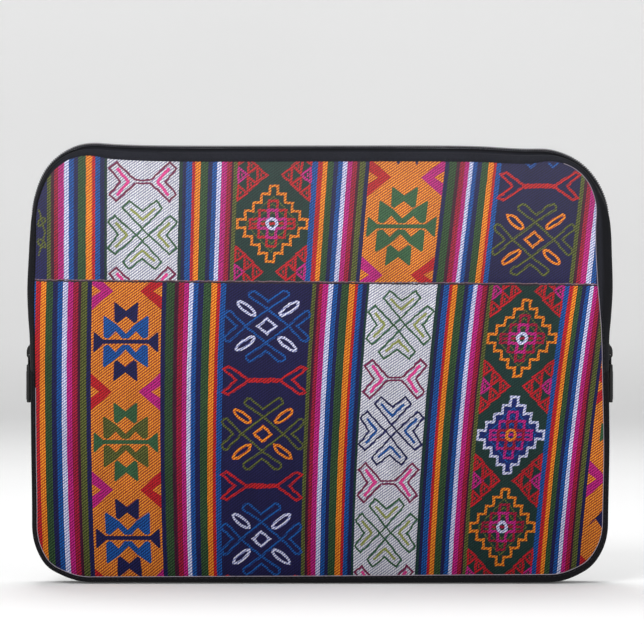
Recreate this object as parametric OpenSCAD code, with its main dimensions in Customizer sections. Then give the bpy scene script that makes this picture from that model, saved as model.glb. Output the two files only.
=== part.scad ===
// Zipped laptop sleeve: two padded panels joined by a gusset round the bottom and by
// a zip round the top. The zip stands fully open, with both sliders at their lower ends.
// +Z is up, the printed panel faces -Y, and the sleeve stands on its gusset at z = 0.

/* [Sleeve] */
// Width of the sleeve across the gusset
body_w = 348; // [300:1:420]
// Height from the gusset to the top of the open zip
body_h = 263; // [230:1:300]
// Depth from the printed face to the back face
body_d = 25; // [23:0.5:34]
// Radius of the two upper corners
top_r = 48; // [30:1:55]
// Radius of the two lower corners
bottom_r = 36; // [20:1:50]

/* [Panels] */
// Thickness of the foam in a panel
foam_t = 3; // [2:0.25:5]
// Thickness of a face fabric or a lining
fabric_t = 0.5; // [0.3:0.1:1]
// Width of the plain border beside and under a panel
border_side = 4; // [3.5:0.5:6]
// Width of the plain border above a panel
border_top = 10; // [7:0.5:14]
// Height of the line at which the front panel folds open
hinge_z = 147; // [135:1:160]
// Slit between the fixed and the opening part of the front panel
hinge_slit = 0.8; // [0.4:0.1:1.5]

/* [Gusset] */
// Depth of the gusset
gusset_d = 22; // [18:0.5:24]
// Height at which the gusset ends and the zip begins
gusset_top = 127; // [110:1:130]
// Thickness of the gusset's face fabric
gusset_face_t = 0.8; // [0.5:0.1:1.2]
// Thickness of the gusset's foam
gusset_foam_t = 2.6; // [2:0.1:2.8]
// Thickness of the tape that binds the inner seams
binding_t = 0.6; // [0.4:0.1:1]
// Width of the tape that binds the inner seams
binding_w = 4; // [3:0.5:5]

/* [Zip] */
// Radius of one row of the coil
coil_r = 1; // [0.8:0.1:1.2]
// Thickness of the zip tape
tape_t = 0.8; // [0.5:0.1:1]
// Distance from the middle plane to each coil row in the slider
row_y = 2.2; // [2.2:0.1:2.6]
// Distance from the middle plane to each coil row at the open mouth
mouth_y = 8.6; // [7:0.2:9]

/* [Sliders and pulls] */
// Length of a slider
slider_l = 10; // [9:0.5:12]
// Width of a slider
slider_w = 10; // [10:0.5:12]
// Thickness of each slider plate
plate_t = 0.8; // [0.6:0.1:1]
// Height of the middle of a slider at the lower end of the zip
slider_z = 139; // [138:0.5:141]
// Radius of the wire link in the pull
wire_r = 0.5; // [0.4:0.05:0.6]
// Length of the grip
grip_l = 23; // [18:1:30]
// Width of the grip
grip_w = 8; // [7:0.5:9]
// Thickness of the grip
grip_t = 2.1; // [1.8:0.1:2.2]

/* [Hidden] */
// Middle of the slider's plates, the coil row and the zip tape, in from the outline
zip_n = coil_r;
panel_t = foam_t + 2 * fabric_t;
face_y = body_d / 2;
lining_y = face_y - panel_t;
// Where the zip tape meets the edge of a panel
seam_y = face_y - panel_t / 2;
seam_gap = 0.15;
arc_steps = 12;
side_steps = 7;
coil_sides = 10;
fit_gap = 0.2;
stop_l = 3.6;
stop_w = 6.4;
stop_t = 0.45;
patch_l = 18;
neck_w = 1.8;
neck_l = 4;
bridge_w = 2.4;
bridge_t = 0.7;
bridge_leg = 0.9;
bridge_l = 7.8;
link_w = 5.2;
link_drop = 5.2;
link_bite = 3;
grip_corner = 2;
plate_out = coil_r + fit_gap;
bridge_in = plate_out + plate_t + 2 * wire_r + fit_gap;
pivot_u = plate_out + plate_t + wire_r + fit_gap / 2;
pivot_z = slider_z - bridge_l / 2 + bridge_leg + wire_r;
grip_u = pivot_u + 0.15;

// A station on the outline is [centre x, centre z, outward x, outward z].
// The point at inset n is the centre plus the outward direction times (radius - n).
function upper_path(z0) =
    let (cx = body_w / 2 - top_r, cz = body_h - top_r)
    concat(
        [for (i = [0 : side_steps]) [-cx, z0 + (cz - z0) * i / side_steps, -1, 0]],
        [for (i = [1 : arc_steps]) [-cx, cz, -cos(90 * i / arc_steps), sin(90 * i / arc_steps)]],
        [for (i = [0 : arc_steps]) [cx, cz, sin(90 * i / arc_steps), cos(90 * i / arc_steps)]],
        [for (i = [1 : side_steps]) [cx, cz + (z0 - cz) * i / side_steps, 1, 0]]
    );

function lower_path(z0) =
    let (cx = body_w / 2 - bottom_r, cz = bottom_r)
    concat(
        [[-cx, z0, -1, 0]],
        [for (i = [0 : arc_steps]) [-cx, cz, -cos(90 * i / arc_steps), -sin(90 * i / arc_steps)]],
        [for (i = [0 : arc_steps]) [cx, cz, sin(90 * i / arc_steps), -cos(90 * i / arc_steps)]],
        [[cx, z0, 1, 0]]
    );

function inset(st, r, n) = [st[0] + st[2] * (r - n), st[1] + st[3] * (r - n)];
function reversed(list) = [for (i = [len(list) - 1 : -1 : 0]) list[i]];

// How far up the opening part a station is, from 0 at the fold line to 1 at the top
function rise(st) = max(0, (inset(st, top_r, 0)[1] - hinge_z) / (body_h - hinge_z));
function panel_n(u) = border_side + (border_top - border_side) * u;
function coil_y(u) = row_y + (mouth_y - row_y) * u * u;

function upper_edge(z0) = [for (st = upper_path(z0)) inset(st, top_r, panel_n(rise(st)))];
function lower_edge(z0) = [for (st = lower_path(z0)) inset(st, bottom_r, border_side)];

// A flat layer that fills an outline drawn in x and z, from y0 to y0 + t
module layer(points, y0, t) {
    translate([0, y0 + t, 0]) rotate([90, 0, 0]) linear_extrude(t) polygon(points);
}

// A band along the gusset, between two insets and two depths
module gusset_band(n0, n1, y0, y1) {
    path = lower_path(gusset_top);
    outer = [for (st = path) inset(st, bottom_r, n0)];
    inner = [for (st = path) inset(st, bottom_r, n1)];
    layer(concat(outer, reversed(inner)), y0, y1 - y0);
}

// A closed solid along stations, from one ring of [inset, y] points at each of them
module swept(path, rings) {
    sides = len(rings[0]);
    last = len(path) - 1;
    points = [
        for (i = [0 : last]) for (p = rings[i])
            let (q = inset(path[i], top_r, p[0])) [q[0], p[1], q[1]]
    ];
    walls = [
        for (i = [0 : last - 1]) for (j = [0 : sides - 1])
            let (a = i * sides + j, b = i * sides + (j + 1) % sides)
            for (f = [[a, b, b + sides], [a, b + sides, a + sides]]) f
    ];
    ends = [[for (j = [sides - 1 : -1 : 0]) j], [for (j = [0 : sides - 1]) last * sides + j]];
    polyhedron(points, concat(walls, ends), convexity = 6);
}

function unit(v) = v / norm(v);
function across(v) = [-v[1], v[0]];

// The tape's section: beside the coil, at its bend and at the panel's edge
function tape_line(u) =
    let (
        coil = [zip_n, coil_y(u)],
        bend = [zip_n + 4 * u * u, coil_y(u) + 3.2 - 2.6 * u],
        edge = [panel_n(u) - seam_gap - tape_t / 2, seam_y]
    )
    [coil + unit(bend - coil) * (coil_r + 0.05), bend, edge];

function tape_ring(u, side) =
    let (
        line = tape_line(u),
        first = across(unit(line[1] - line[0])) * tape_t / 2,
        second = across(unit(line[2] - line[1])) * tape_t / 2,
        middle = (first + second) / 2,
        ring = [
            line[0] + first, line[1] + middle, line[2] + second,
            line[2] - second, line[1] - middle, line[0] - first
        ],
        placed = [for (p = ring) [p[0], side * p[1]]]
    )
    side > 0 ? reversed(placed) : placed;

function coil_ring(u, side) = [
    for (j = [0 : coil_sides - 1])
        let (a = 360 * (j + 0.5) / coil_sides)
        [zip_n + coil_r * cos(a), side * coil_y(u) + coil_r * sin(a)]
];

// side is -1 for the front of the zip and 1 for its back
module zip_tape(path, side) {
    swept(path, [for (st = path) tape_ring(rise(st), side)]);
}

module zip_coil(path, side) {
    swept(path, [for (st = path) coil_ring(rise(st), side)]);
}

// The straight stretches of the front row beside the sliders' lower ends. The left one is
// the right one's back row turned half round, which brings it to the front.
module front_ends(right_ring, left_ring) {
    for (ring = [right_ring, left_ring])
        rotate([0, 0, ring == right_ring ? 0 : 180]) translate([0, 0, gusset_top])
            linear_extrude(hinge_z - hinge_slit / 2 - gusset_top)
                polygon([for (p = ring) [body_w / 2 - p[0], p[1]]]);
}

// Places a part at the right (1) or left (-1) zip end: x counts outwards from the coil row
module at_zip(side) {
    rotate([0, 0, side > 0 ? 0 : 180]) translate([body_w / 2 - zip_n, 0, 0]) children();
}

module box(low, high) {
    translate(low) cube(high - low);
}

module front_print_lower() {
    color("midnightblue") layer(lower_edge(hinge_z - hinge_slit / 2), -face_y, fabric_t);
}

module front_foam_lower() {
    color("dimgray") layer(lower_edge(hinge_z - hinge_slit / 2), fabric_t - face_y, foam_t);
}

module front_lining_lower() {
    color("black") layer(lower_edge(hinge_z - hinge_slit / 2), -lining_y - fabric_t, fabric_t);
}

module front_print_upper() {
    color("darkorange") layer(upper_edge(hinge_z + hinge_slit / 2), -face_y, fabric_t);
}

module front_foam_upper() {
    color("dimgray") layer(upper_edge(hinge_z + hinge_slit / 2), fabric_t - face_y, foam_t);
}

module front_lining_upper() {
    color("black") layer(upper_edge(hinge_z + hinge_slit / 2), -lining_y - fabric_t, fabric_t);
}

function back_edge() = concat(lower_edge(hinge_z), reversed(upper_edge(hinge_z)));

module back_face() {
    color([0.1, 0.1, 0.12]) layer(back_edge(), face_y - fabric_t, fabric_t);
}

module back_foam() {
    color("dimgray") layer(back_edge(), lining_y + fabric_t, foam_t);
}

module back_lining() {
    color("black") layer(back_edge(), lining_y, fabric_t);
}

module gusset_face() {
    color([0.1, 0.1, 0.12]) gusset_band(0, gusset_face_t, -gusset_d / 2, gusset_d / 2);
}

module gusset_foam() {
    color("dimgray")
        gusset_band(gusset_face_t, gusset_face_t + gusset_foam_t, -gusset_d / 2, gusset_d / 2);
}

module gusset_lining() {
    color("black")
        gusset_band(gusset_face_t + gusset_foam_t, border_side, -gusset_d / 2, gusset_d / 2);
}

module front_seam_binding() {
    color("black")
        gusset_band(border_side, border_side + binding_t, -lining_y, binding_w - lining_y);
}

module back_seam_binding() {
    color("black")
        gusset_band(border_side, border_side + binding_t, lining_y - binding_w, lining_y);
}

module front_zip_tape() {
    color("darkslategray") zip_tape(upper_path(hinge_z + hinge_slit / 2), -1);
}

module front_zip_coil() {
    color("black") zip_coil(upper_path(hinge_z + hinge_slit / 2), -1);
}

module front_tape_ends() {
    color("darkslategray") front_ends(tape_ring(0, -1), tape_ring(0, 1));
}

module front_coil_ends() {
    color("black") front_ends(coil_ring(0, -1), coil_ring(0, 1));
}

module back_zip_tape() {
    color("darkslategray") zip_tape(upper_path(gusset_top), 1);
}

module back_zip_coil() {
    color("black") zip_coil(upper_path(gusset_top), 1);
}

// A clamp that joins both coil rows under the slider
module end_stop(side) {
    top = slider_z - slider_l / 2 - 0.4;
    at_zip(side) color("silver") union() {
        box([-coil_r, -1, top - stop_l], [coil_r, 1, top]);
        for (x = [coil_r, -coil_r - stop_t])
            box([x, -stop_w / 2, top - stop_l], [x + stop_t, stop_w / 2, top]);
    }
}

// A patch inside the sleeve over the joint between the zip's end and the gusset
module end_patch(side) {
    x = zip_n - border_side - binding_t;
    w = lining_y - binding_w - fit_gap;
    at_zip(side) color("black")
        box([x, -w, gusset_top + 4 - patch_l], [x + binding_t, w, gusset_top + 4]);
}

// Two plates joined by a neck at the end that faces the open zip
module slider(side) {
    low = slider_z - slider_l / 2;
    at_zip(side) color([0.15, 0.15, 0.16]) union() {
        for (x = [plate_out, -plate_out - plate_t])
            translate([x, 0, 0]) slider_plate(low);
        box([-plate_out, -neck_w / 2, low + slider_l - neck_l - 1],
            [plate_out, neck_w / 2, low + slider_l - 1]);
    }
}

// A plate with rounded corners, in y and z
module slider_plate(low) {
    r = 1.5;
    translate([0, 0, low]) rotate([90, 0, 90]) linear_extrude(plate_t) union() {
        translate([-slider_w / 2 + r, 0]) square([slider_w - 2 * r, slider_l]);
        translate([-slider_w / 2, r]) square([slider_w, slider_l - 2 * r]);
        for (y = [-1, 1]) for (z = [r, slider_l - r])
            translate([y * (slider_w / 2 - r), z]) circle(r, $fn = 32);
    }
}

// The raised loop that the pull hangs from
module slider_bridge(side) {
    z0 = slider_z - bridge_l / 2;
    foot = plate_out + plate_t;
    top = bridge_in + bridge_t;
    at_zip(side) color([0.15, 0.15, 0.16]) difference() {
        box([foot, -bridge_w / 2, z0], [top, bridge_w / 2, z0 + bridge_l]);
        box([foot - 1, -bridge_w, z0 + bridge_leg],
            [bridge_in, bridge_w, z0 + bridge_l - bridge_leg]);
    }
}

// A wire loop: the crossbar turns under the bridge and the legs end in the grip
module pull_link(side) {
    at_zip(side) color("silver") union() {
        translate([pivot_u, 0, pivot_z]) rotate([90, 0, 0])
            cylinder(r = wire_r, h = link_w + 2 * wire_r, center = true, $fn = 24);
        link_legs();
    }
}

module link_legs() {
    for (y = [-link_w / 2, link_w / 2])
        translate([pivot_u, y, pivot_z - link_drop - link_bite])
            cylinder(r = wire_r, h = link_drop + link_bite, $fn = 24);
}

module pull_grip(side) {
    top = pivot_z - link_drop;
    r = grip_corner;
    at_zip(side) color([0.08, 0.08, 0.09]) difference() {
        translate([grip_u - grip_t / 2, 0, top - grip_l]) rotate([90, 0, 90])
            linear_extrude(grip_t) union() {
                translate([-grip_w / 2 + r, 0]) square([grip_w - 2 * r, grip_l]);
                translate([-grip_w / 2, r]) square([grip_w, grip_l - 2 * r]);
                for (y = [-1, 1]) for (z = [r, grip_l - r])
                    translate([y * (grip_w / 2 - r), z]) circle(r, $fn = 32);
            }
        link_legs();
    }
}

front_print_lower();
front_foam_lower();
front_lining_lower();
front_print_upper();
front_foam_upper();
front_lining_upper();
back_face();
back_foam();
back_lining();
gusset_face();
gusset_foam();
gusset_lining();
front_seam_binding();
back_seam_binding();
front_zip_tape();
front_zip_coil();
front_tape_ends();
front_coil_ends();
back_zip_tape();
back_zip_coil();
end_stop(-1);  // left_end_stop
end_stop(1);  // right_end_stop
end_patch(-1);  // left_end_patch
end_patch(1);  // right_end_patch
slider(-1);  // left_slider
slider(1);  // right_slider
slider_bridge(-1);  // left_slider_bridge
slider_bridge(1);  // right_slider_bridge
pull_link(-1);  // left_pull_link
pull_link(1);  // right_pull_link
pull_grip(-1);  // left_pull_grip
pull_grip(1);  // right_pull_grip
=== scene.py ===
"""The looks of the laptop sleeve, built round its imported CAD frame.

Lengths in this script are in millimetres unless a name says otherwise, in the frame's axes:
+X to the right as the print is seen, +Y to the back, +Z up. mesh_piece() turns them into metres.
A place on the sleeve's outline is a Station; n is how far in from the outline a point lies.
A part is a tuple of points, faces and weave, the cloth coordinates of each point.
"""

import math

import bmesh
import bpy
import numpy as np
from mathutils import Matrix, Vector, geometry


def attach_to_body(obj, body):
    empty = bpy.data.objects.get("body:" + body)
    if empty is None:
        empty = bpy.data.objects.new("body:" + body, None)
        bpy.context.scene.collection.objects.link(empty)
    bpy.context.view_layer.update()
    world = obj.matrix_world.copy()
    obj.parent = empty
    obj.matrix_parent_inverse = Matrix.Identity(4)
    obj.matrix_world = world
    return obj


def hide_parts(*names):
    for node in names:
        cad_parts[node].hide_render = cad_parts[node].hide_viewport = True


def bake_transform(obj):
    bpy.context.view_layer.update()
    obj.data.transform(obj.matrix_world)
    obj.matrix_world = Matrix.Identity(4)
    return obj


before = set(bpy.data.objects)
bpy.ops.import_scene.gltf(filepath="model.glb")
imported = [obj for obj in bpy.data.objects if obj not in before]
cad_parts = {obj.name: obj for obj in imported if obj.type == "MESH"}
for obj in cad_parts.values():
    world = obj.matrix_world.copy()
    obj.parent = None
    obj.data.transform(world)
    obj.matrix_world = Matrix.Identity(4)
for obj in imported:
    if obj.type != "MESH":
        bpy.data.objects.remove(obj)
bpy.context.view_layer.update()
MM = 0.001

# ---------------------------------------------------------------- the sleeve's outline

BODY_W, BODY_H, BODY_D = 348.0, 263.0, 25.0
TOP_R, BOTTOM_R = 48.0, 36.0
GUSSET_TOP, HINGE_Z = 127.0, 147.0
FACE_Y = BODY_D / 2
COIL_R = 1.0
# How far from the middle plane a coil row lies, beside the sliders and at the top's middle.
ROW_Y, MOUTH_Y = 2.2, 8.6
# The coil rows run side by side up to here, as far as the sliders travel, then part.
PARTING_Z = 203.0

# Landmarks round each half of the outline, from the middle of the bottom (0) to the middle
# of the top (7): 1 and 2 bound the lower corner, 3 is the gusset's end, 4 the fold line,
# 5 and 6 bound the upper corner. Each list holds (landmark, millimetres), for the right half
# (1) and the left half (-1). BORDER is the width of the black edge beside the print, and
# SWELL is how far the outline lies outside the plain rounded rectangle.
BORDER = {
    1: [(0, 4.4), (1, 5.0), (1.6, 4.4), (2, 3.8), (2.5, 3.8), (3, 4.3), (4, 5.0), (4.25, 7.4),
        (4.5, 9.4), (5, 9.6), (5.2, 7.5), (5.45, 5.6), (5.7, 6.2), (6, 9.2), (7, 9.8)],
    -1: [(0, 4.4), (1, 3.5), (2, 3.4), (3, 3.4), (4, 3.6), (4.5, 4.8), (5, 4.1),
         (5.3, 4.3), (5.6, 5.6), (6, 9.2), (7, 9.8)],
}
SWELL = {
    1: [(0, 0), (1, -0.3), (1.3, -0.4), (1.5, 0.3), (1.7, 0.0), (2, -0.4), (2.5, 0.4),
        (3, 0.1), (4, 0.3), (4.2, 1.4), (4.45, 2.3), (4.8, 1.7), (5, 1.4), (5.5, 1.3),
        (5.8, -0.4), (6, -1.9), (6.25, -0.4), (6.5, 0), (7, 0)],
    -1: [(0, 0), (1, -0.4), (1.3, -0.3), (1.5, 0.8), (1.7, 0.0), (2, -0.9), (2.5, -0.4),
         (3, 0), (4, 0.5), (4.2, 1.4), (4.45, 1.9), (4.8, 0.8), (5, 0.3), (5.25, 1.6),
         (5.5, 4.1), (5.75, 4.0), (6, 1.0), (6.3, 0), (7, 0)],
}


def smooth(t):
    t = min(1.0, max(0.0, t))
    return t * t * (3 - 2 * t)


def eased(table, place):
    """The table's value at a place, with a smooth curve between its entries."""
    xs, vs = zip(*table)
    i = int(np.clip(np.searchsorted(xs, place, side="right") - 1, 0, len(xs) - 2))
    h = xs[i + 1] - xs[i]
    t = min(1.0, max(0.0, (place - xs[i]) / h))

    def slope(j):
        a, b = max(0, j - 1), min(len(xs) - 1, j + 1)
        return (vs[b] - vs[a]) / (xs[b] - xs[a])

    return (
        vs[i] * (1 + 2 * t) * (1 - t) ** 2
        + slope(i) * h * t * (1 - t) ** 2
        + vs[i + 1] * t * t * (3 - 2 * t)
        - slope(i + 1) * h * t * t * (1 - t)
    )


class Station:
    """A place on the outline: an arc centre, the outward direction and its radius."""

    def __init__(self, side, place, centre, out, radius):
        self.side, self.place = side, place
        self.centre, self.out = np.array(centre, float), np.array(out, float)
        swell = eased(SWELL[side], place)
        self.radius = radius + swell
        self.border = eased(BORDER[side], place)
        above = self.at(0)[1] - PARTING_Z
        self.rise = max(0.0, above / (BODY_H - PARTING_Z))
        self.coil_n = COIL_R + swell * (1.0 - smooth(above / 25.0))
        self.coil_y = ROW_Y + (MOUTH_Y - ROW_Y) * self.rise ** 2
        self.run = 0.0

    def at(self, n):
        """The point at inset n, in x and z."""
        return self.centre + self.out * (self.radius - n)

    def point(self, n, y):
        x, z = self.at(n)
        return x, y, z


def half_outline(side, step):
    """Stations from the middle of the bottom up to the middle of the top, on one side."""
    low, top = (BODY_W / 2 - BOTTOM_R, BOTTOM_R), (BODY_W / 2 - TOP_R, BODY_H - TOP_R)
    down, across, up = -math.pi / 2, 0.0, math.pi / 2
    # Each leg runs from one landmark to the next: its arc centre at both ends, its outward
    # angle at both ends, and its radius.
    legs = [
        ((0, BOTTOM_R), low, down, down, BOTTOM_R),
        (low, low, down, across, BOTTOM_R),
        (low, (low[0], GUSSET_TOP), across, across, BOTTOM_R),
        ((low[0], GUSSET_TOP), (low[0], HINGE_Z), across, across, BOTTOM_R),
        ((top[0], HINGE_Z), top, across, across, TOP_R),
        (top, top, across, up, TOP_R),
        (top, (0, top[1]), up, up, TOP_R),
    ]
    stations = []
    for landmark, (a, b, angle0, angle1, radius) in enumerate(legs):
        count = max(1, round((math.dist(a, b) + (angle1 - angle0) * radius) / step))
        for i in range(count):
            t = i / count
            centre = (side * (a[0] + (b[0] - a[0]) * t), a[1] + (b[1] - a[1]) * t)
            angle = angle0 + (angle1 - angle0) * t
            out = (side * math.cos(angle), math.sin(angle))
            stations.append(Station(side, landmark + t, centre, out, radius))
    return stations


def outline(step):
    """The whole outline, counter-clockwise as the print is seen, from the bottom's middle."""
    top = Station(1, 7, (0, BODY_H - TOP_R), (0, 1), TOP_R)
    return half_outline(1, step) + [top] + half_outline(-1, step)[:0:-1]


def stretch(step, low, high):
    """The stations whose landmarks lie from low to high, with their way along the outline. A
    range that holds 0 runs from the left end round the bottom, and one that holds 7 from the
    right end round the top."""
    ring = [st for st in outline(step) if low <= st.place <= high]
    if low <= 0:
        ring.sort(key=lambda st: st.side)
    for before, st in zip(ring, ring[1:]):
        st.run = before.run + math.dist(st.at(0), before.at(0))
    return ring


# ---------------------------------------------------------------- materials


def rgba(rgb, alpha=1.0):
    """An sRGB colour of 0 to 255 as linear light."""
    light = [c / 12.92 if c <= 0.04045 else ((c + 0.055) / 1.055) ** 2.4
             for c in (value / 255 for value in rgb)]
    return (*light, alpha)


class Field:
    """What a shader node puts out, so that sums of such values read as plain arithmetic."""

    def __init__(self, graph, socket):
        self.graph, self.socket = graph, socket

    def __add__(self, other):
        return self.graph.math("ADD", self, other)

    def __mul__(self, other):
        return self.graph.math("MULTIPLY", self, other)

    def __pow__(self, other):
        return self.graph.math("POWER", self, other)

    def clamped(self):
        self.socket.node.use_clamp = True
        return self


class Graph:
    """A short way to write a material's node tree."""

    def __init__(self, name):
        self.material = bpy.data.materials.new(name)
        self.material.use_nodes = True
        self.tree = self.material.node_tree

    def fill(self, node, inputs):
        for key, value in inputs.items():
            if isinstance(value, Field):
                self.tree.links.new(value.socket, node.inputs[key])
            else:
                node.inputs[key].default_value = value

    def node(self, kind, inputs, output=0, **settings):
        made = self.tree.nodes.new("ShaderNode" + kind)
        for key, value in settings.items():
            setattr(made, key, value)
        self.fill(made, inputs)
        return Field(self, made.outputs[output])

    def finished(self, inputs):
        """The material, with these inputs of its shader."""
        self.fill(self.tree.nodes["Principled BSDF"], inputs)
        return self.material

    def math(self, operation, *values):
        return self.node("Math", dict(enumerate(values)), operation=operation)

    def wave(self, value, period):
        return self.math("SINE", value * (2 * math.pi / period))

    def attribute(self, name, output="Vector"):
        return self.node("Attribute", {}, output, attribute_name=name)

    def xyz(self, vector):
        """The three numbers of a vector."""
        node = self.node("SeparateXYZ", {0: vector}).socket.node
        return [Field(self, out) for out in node.outputs]

    def mix(self, factor, a, b, blend="MIX"):
        return self.node("Mix", {0: factor, 6: a, 7: b}, 2, data_type="RGBA", blend_type=blend)

    def noise(self, vector, per_mm, detail, rough=0.5):
        """Noise with about per_mm features a millimetre along each axis of the vector."""
        place = self.node("VectorMath", {0: vector, 1: per_mm}, operation="MULTIPLY")
        return self.node("TexNoise", {"Vector": place, "Scale": 1.0, "Detail": detail,
                                      "Roughness": rough}, "Fac")

    def ramp(self, value, *stops):
        """A grey by a number, between stops of (number, grey)."""
        made = self.node("ValToRGB", {"Fac": value}, "Color")
        elements = made.socket.node.color_ramp.elements
        elements.remove(elements[1])
        for i, (at, grey) in enumerate(stops):
            spot = elements.new(at) if i else elements[0]
            spot.position, spot.color = at, (grey, grey, grey, 1)
        return made

    def bump(self, height, depth, strength=1.0):
        return self.node("Bump", {"Height": height, "Distance": depth * MM,
                                  "Strength": strength})


def woven(name, dark, light, rib, wale, depth, roughness, sheen, slant=0.5, least=1.0):
    """A cloth whose ribs lie rib mm apart and whose wales wale mm apart, by the piece's own
    "weave" coordinates: x along the piece and y across it, in mm. Painted shade darkens its
    colour to least where the third coordinate is 0, and leaves it full where it is 1."""
    g = Graph(name)
    weave = g.attribute("weave")
    along, across, share = g.xyz(weave)
    lean = g.math("PINGPONG", across, wale) * slant
    knit = g.wave(along + lean, rib) * 0.5 * g.wave(across, wale) + 0.5
    fuzz = g.noise(weave, (1.4, 1.4, 1.4), 3.0)
    worn = g.noise(weave, (0.03, 0.05, 0.03), 3.0)
    tone = (knit * 0.55 + fuzz * 0.45 + (worn * 0.5 + -0.25)).clamped()
    colour = g.mix(tone, rgba(dark), rgba(light))
    if least < 1.0:
        # Painted shade: the third weave coordinate darkens the colour down to least.
        colour = g.mix(1.0, colour, g.ramp(share, (0.0, least), (1.0, 1.0)), "MULTIPLY")
    return g.finished({
        "Base Color": colour, "Roughness": worn * 0.2 + (roughness - 0.1),
        "Sheen Weight": sheen, "Sheen Roughness": 0.5, "Specular IOR Level": 0.12,
        "Normal": g.bump(knit + fuzz * 0.5, depth)})


def hard(name, dark, light, roughness, metal, grain, depth):
    """Paint, metal or moulded plastic with a fine grain and rubbed patches."""
    g = Graph(name)
    weave = g.attribute("weave")
    fine = g.noise(weave, (grain, grain, grain), 4.0)
    wide = g.noise(weave, (0.25, 0.25, 0.25), 3.0)
    rubbed = g.ramp(fine * 0.35 + wide * 0.65, (0.42, 0.0), (0.64, 1.0))
    return g.finished({
        "Base Color": g.mix(rubbed, rgba(dark), rgba(light)),
        "Roughness": fine * 0.2 + (roughness - 0.1), "Metallic": metal,
        "Normal": g.bump(fine, depth)})


def printed():
    """The printed cloth. Each face of the mesh carries the dye of what it shows ("dye"), the
    dark dye between its yarns with their strength in the alpha ("between"), and "cloth", the
    place in the woven cloth that the print shows, in mm."""
    g = Graph("printed_knit")
    cloth = g.attribute("cloth")
    s, z, _ = g.xyz(cloth)
    shake = g.noise(cloth, (0.35, 0.35, 0.0), 2.0) * 2.2 + -1.1
    rope = g.wave(s * -0.75 + z + shake * 0.40, 1.75) * 0.5 + 0.5
    cord = g.wave(s, 2.7)
    patchy = g.noise(cloth, (0.9, 0.5, 0.0), 2.0)
    gap = (cord * cord * 0.30 + rope ** 1.4) * g.attribute("between", "Alpha")
    gap = (gap * (patchy * 1.7 + 0.35)).clamped()
    colour = g.mix(gap, g.attribute("dye", "Color"), g.attribute("between", "Color"))
    pick = g.noise(cloth, (1.6, 0.9, 0.0), 2.0, 0.6)
    fade = g.noise(cloth, (0.06, 0.02, 0.0), 3.0, 0.6)
    value = (pick * 0.75 + 0.62) * (fade * 0.7 + 0.66)
    colour = g.node("HueSaturation", {"Value": value, "Color": colour})
    u, v, _ = g.xyz(g.attribute("weave"))
    height = v * (1 / BODY_H)
    # Painted light and shade: a pale wash of light grows towards the top of the print, and the
    # shadow ramp darkens it towards the bottom and lightens it a little near the top.
    painted_top_light = g.ramp(height, (0.0, 0.0), (0.5, 0.01), (0.68, 0.015), (0.70, 0.025), (0.95, 0.045))
    colour = g.mix(painted_top_light, colour, rgba((222, 222, 214)))
    shadow = g.ramp(height, (0.0, 0.62), (0.2, 0.76), (0.5, 0.92), (0.8, 1.05))
    colour = g.mix(1.0, colour, shadow, "MULTIPLY")
    knit = g.wave(u, 0.8) * g.wave(v, 0.6)
    return g.finished({
        "Base Color": colour, "Roughness": pick * 0.15 + 0.68,
        "Sheen Weight": 0.02, "Sheen Roughness": 0.5, "Specular IOR Level": 0.08,
        "Normal": g.bump(knit * 0.25 + pick * 0.8, 0.08, 0.7)})


# woven: dark and light colour, rib, wale, relief, roughness, sheen. hard: dark and light
# colour, roughness, metal, grains a mm, relief.
MATERIALS = {
    "print": printed(),
    "face": woven("black_knit", (4, 4, 6), (20, 19, 24), 0.9, 1.2, 0.12, 0.8, 0.05),
    "edge": woven("cut_foam_edge", (112, 106, 116), (168, 160, 172), 0.8, 0.7, 0.05, 0.9, 0.05),
    "foam": woven("closed_cell_foam", (26, 26, 29), (48, 48, 52), 1.3, 1.1, 0.12, 0.9, 0.05),
    "lining": woven("brushed_lining", (19, 19, 22), (46, 46, 52), 1.1, 1.5, 0.10, 0.9, 0.5),
    "binding": woven("woven_binding", (11, 11, 14), (36, 36, 41), 0.6, 1.0, 0.08, 0.8, 0.08),
    # The tape's least of 0.3 is how dark its painted shade beside the coil gets.
    "tape": woven("zip_tape_weave", (13, 14, 18), (51, 52, 61), 0.7, 1.1, 0.09, 0.75, 0.06,
                  slant=0.8, least=0.3),
    "thread": woven("sewing_thread", (12, 12, 15), (44, 44, 50), 0.5, 0.4, 0.04, 0.6, 0.05),
    # Painted light in part: the coil's black nylon has lighter greys than the tape, as light falls
    # on its wires more than on the cord between them.
    "coil": hard("nylon_coil", (38, 39, 45), (78, 79, 88), 0.38, 0.0, 1.5, 0.02),
    "paint": hard("black_painted_zinc", (9, 9, 11), (27, 27, 30), 0.42, 0.35, 1.1, 0.02),
    "wire": hard("black_wire", (13, 13, 15), (44, 44, 47), 0.35, 0.7, 1.6, 0.015),
    "grip": hard("moulded_grip", (8, 8, 10), (19, 19, 22), 0.55, 0.0, 2.2, 0.03),
}

# ---------------------------------------------------------------- meshes


def linked(name, data):
    """A new object in the scene."""
    made = bpy.data.objects.new(name, data)
    bpy.context.scene.collection.objects.link(made)
    return made


def outward(points, faces):
    """The faces, turned over if the closed mesh they make is inside out."""
    p = np.asarray(points, float)
    fans = np.array([(f[0], f[k], f[k + 1]) for f in faces for k in range(1, len(f) - 1)])
    a, b, c = p[fans[:, 0]], p[fans[:, 1]], p[fans[:, 2]]
    volume = float((a * np.cross(b, c)).sum())
    return faces if volume > 0 else [tuple(reversed(f)) for f in faces]


def attach(piece, name, kind, domain, values):
    """Gives a piece's mesh an attribute of vectors or colours."""
    attribute = piece.data.attributes.new(name, kind, domain)
    key = "color" if kind == "FLOAT_COLOR" else "vector"
    attribute.data.foreach_set(key, np.asarray(values, np.float32).ravel())


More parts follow.
